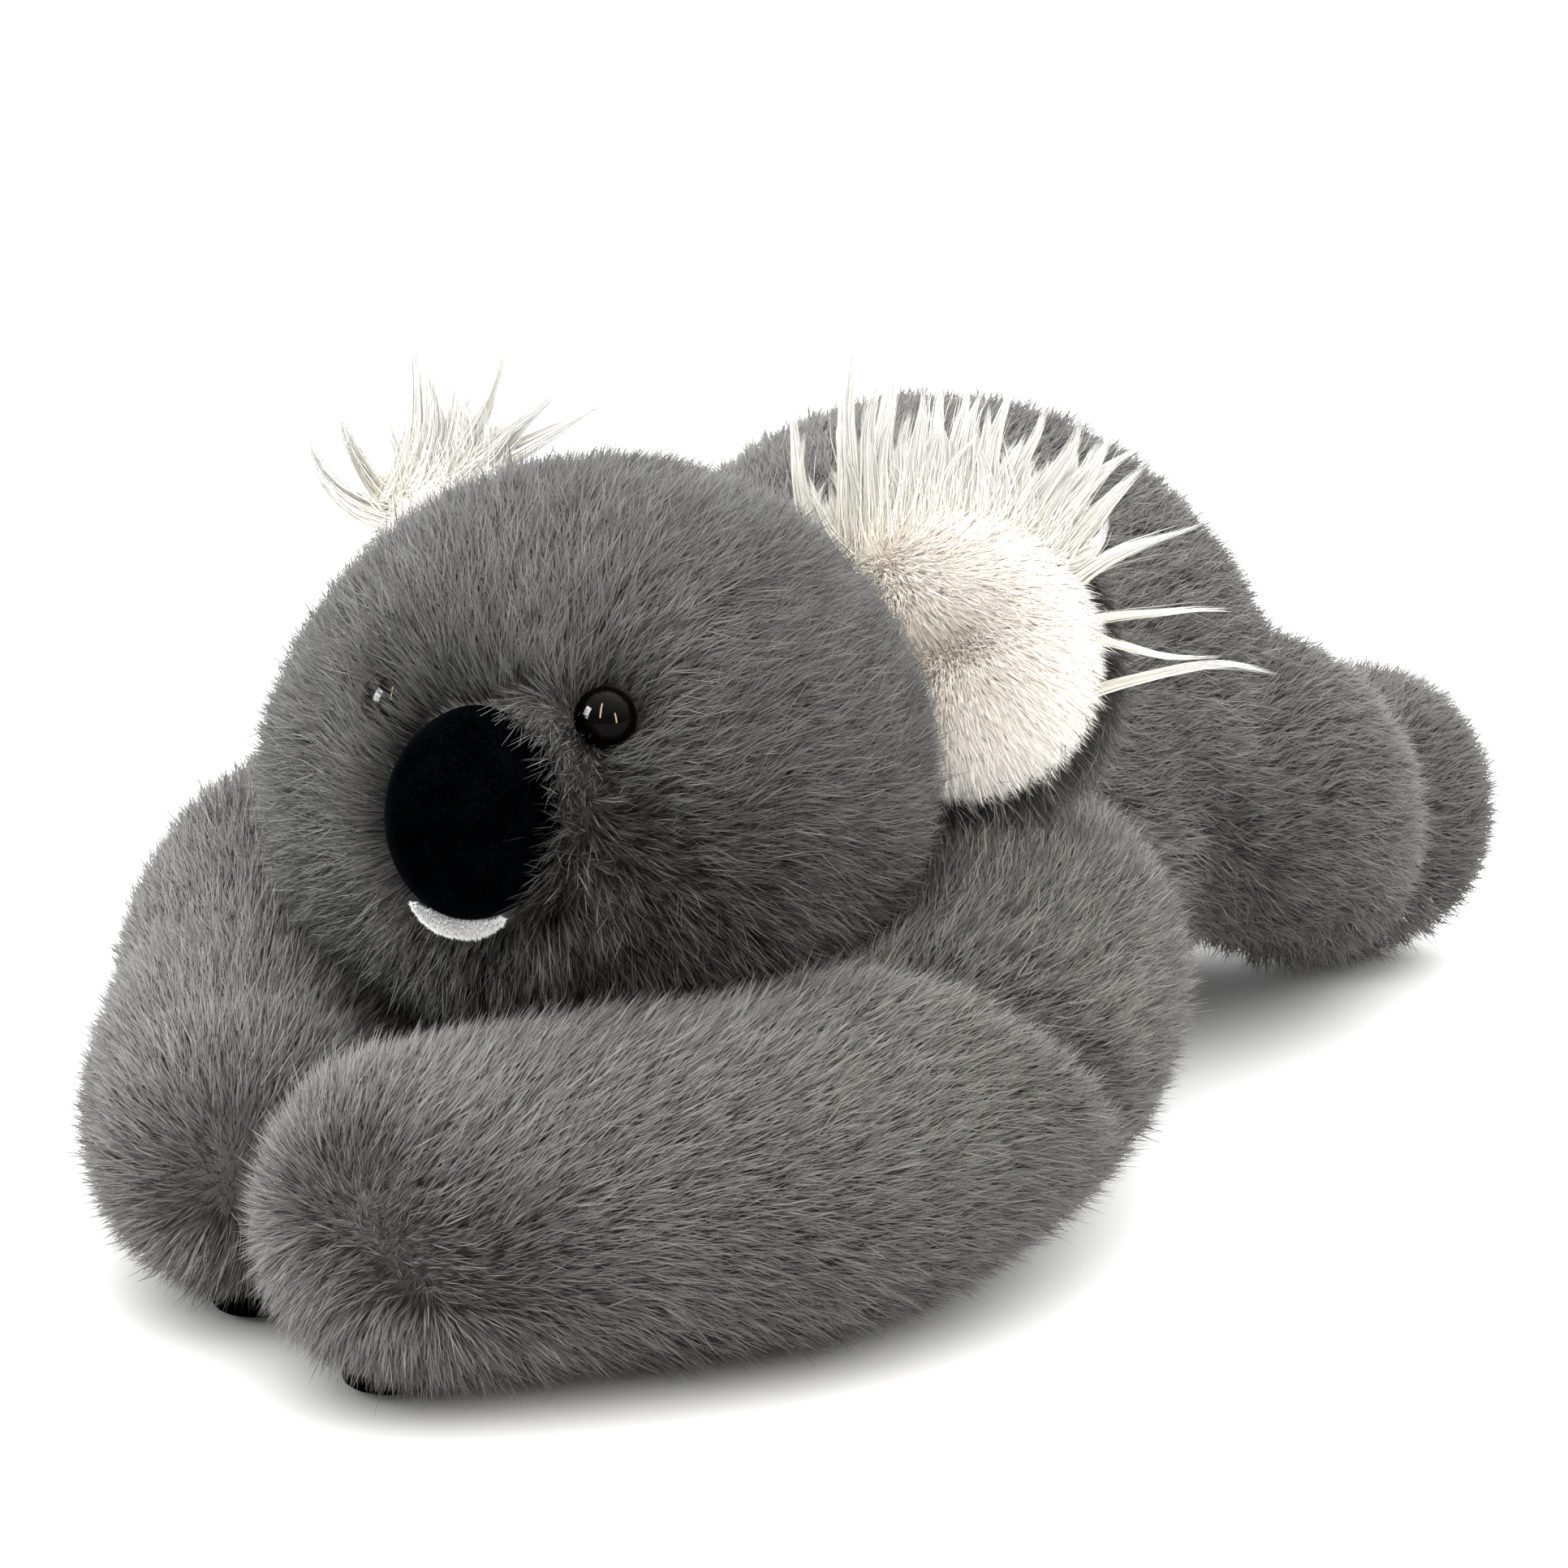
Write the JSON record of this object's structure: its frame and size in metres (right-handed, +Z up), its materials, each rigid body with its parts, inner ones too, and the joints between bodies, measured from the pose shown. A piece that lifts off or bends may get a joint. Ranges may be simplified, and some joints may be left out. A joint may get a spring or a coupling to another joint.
{
  "type": "plush koala",
  "caption": "Soft grey koala lying on its belly, chin on its folded front paws, with a velvet nose, glossy eyes and round ears edged with long white pile.",
  "frame": {"origin": "on the floor, under the middle of the belly, on the flat patch it rests on", "axes": "+Z up, -Y the way the koala faces, +X its own left side"},
  "size_m": [0.2683, 0.4948, 0.2043],
  "materials": {
    "fur_grey": "standing grey pile, 12 mm long",
    "stuffing": "loose polyester fibre",
    "lining_cream": "short cream pile",
    "tuft_white": "long white pile",
    "velvet_black": "black velvet",
    "lip_white": "short white pile",
    "eye_gloss": "polished, almost black brown",
    "washer_plastic": "moulded, uncoloured"
  },
  "bodies": {
    "trunk": {"body_skin": "fur_grey", "body_stuffing": "stuffing"},
    "head": {"head_skin": "fur_grey", "head_stuffing": "stuffing", "nose_cover": "velvet_black", "nose_padding": "stuffing", "lower_lip": "lip_white", "left_eye": "eye_gloss", "left_eye_washer": "washer_plastic", "right_eye": "eye_gloss", "right_eye_washer": "washer_plastic"},
    "left_arm": {"left_arm_skin": "fur_grey", "left_arm_stuffing": "stuffing", "left_paw_pad": "velvet_black"},
    "right_arm": {"right_arm_skin": "fur_grey", "right_arm_stuffing": "stuffing", "right_paw_pad": "velvet_black"},
    "left_leg": {"left_leg_skin": "fur_grey", "left_leg_stuffing": "stuffing"},
    "right_leg": {"right_leg_skin": "fur_grey", "right_leg_stuffing": "stuffing"},
    "left_ear": {"left_ear_back": "fur_grey", "left_ear_lining": "lining_cream", "left_ear_tuft": "tuft_white"},
    "right_ear": {"right_ear_back": "fur_grey", "right_ear_lining": "lining_cream", "right_ear_tuft": "tuft_white"}
  },
  "joints": [
    {"name": "neck_nod", "type": "hinge", "parent": "trunk", "child": "head", "pos_m": [0, -0.112, 0.16], "axis": [-1, 0, 0], "range_deg": [0, 15]},
    {"name": "left_shoulder_swing", "type": "hinge", "parent": "trunk", "child": "left_arm", "pos_m": [0.08, -0.044, 0.05], "axis": [0, 0, 1], "range_deg": [0, 30]},
    {"name": "right_shoulder_swing", "type": "hinge", "parent": "trunk", "child": "right_arm", "pos_m": [-0.08, -0.04, 0.05], "axis": [0, 0, -1], "range_deg": [0, 30]},
    {"name": "left_hip_swing", "type": "hinge", "parent": "trunk", "child": "left_leg", "pos_m": [0.086, -0.016, 0.05], "axis": [0, 0, -1], "range_deg": [0, 20]},
    {"name": "right_hip_swing", "type": "hinge", "parent": "trunk", "child": "right_leg", "pos_m": [-0.086, -0.016, 0.05], "axis": [0, 0, 1], "range_deg": [0, 20]},
    {"name": "left_ear_fold", "type": "hinge", "parent": "head", "child": "left_ear", "pos_m": [0.06, -0.142, 0.125], "axis": [0, 0, -1], "range_deg": [0, 25]},
    {"name": "right_ear_fold", "type": "hinge", "parent": "head", "child": "right_ear", "pos_m": [-0.071, -0.1555, 0.125], "axis": [0, 0, 1], "range_deg": [0, 25]}
  ]
}
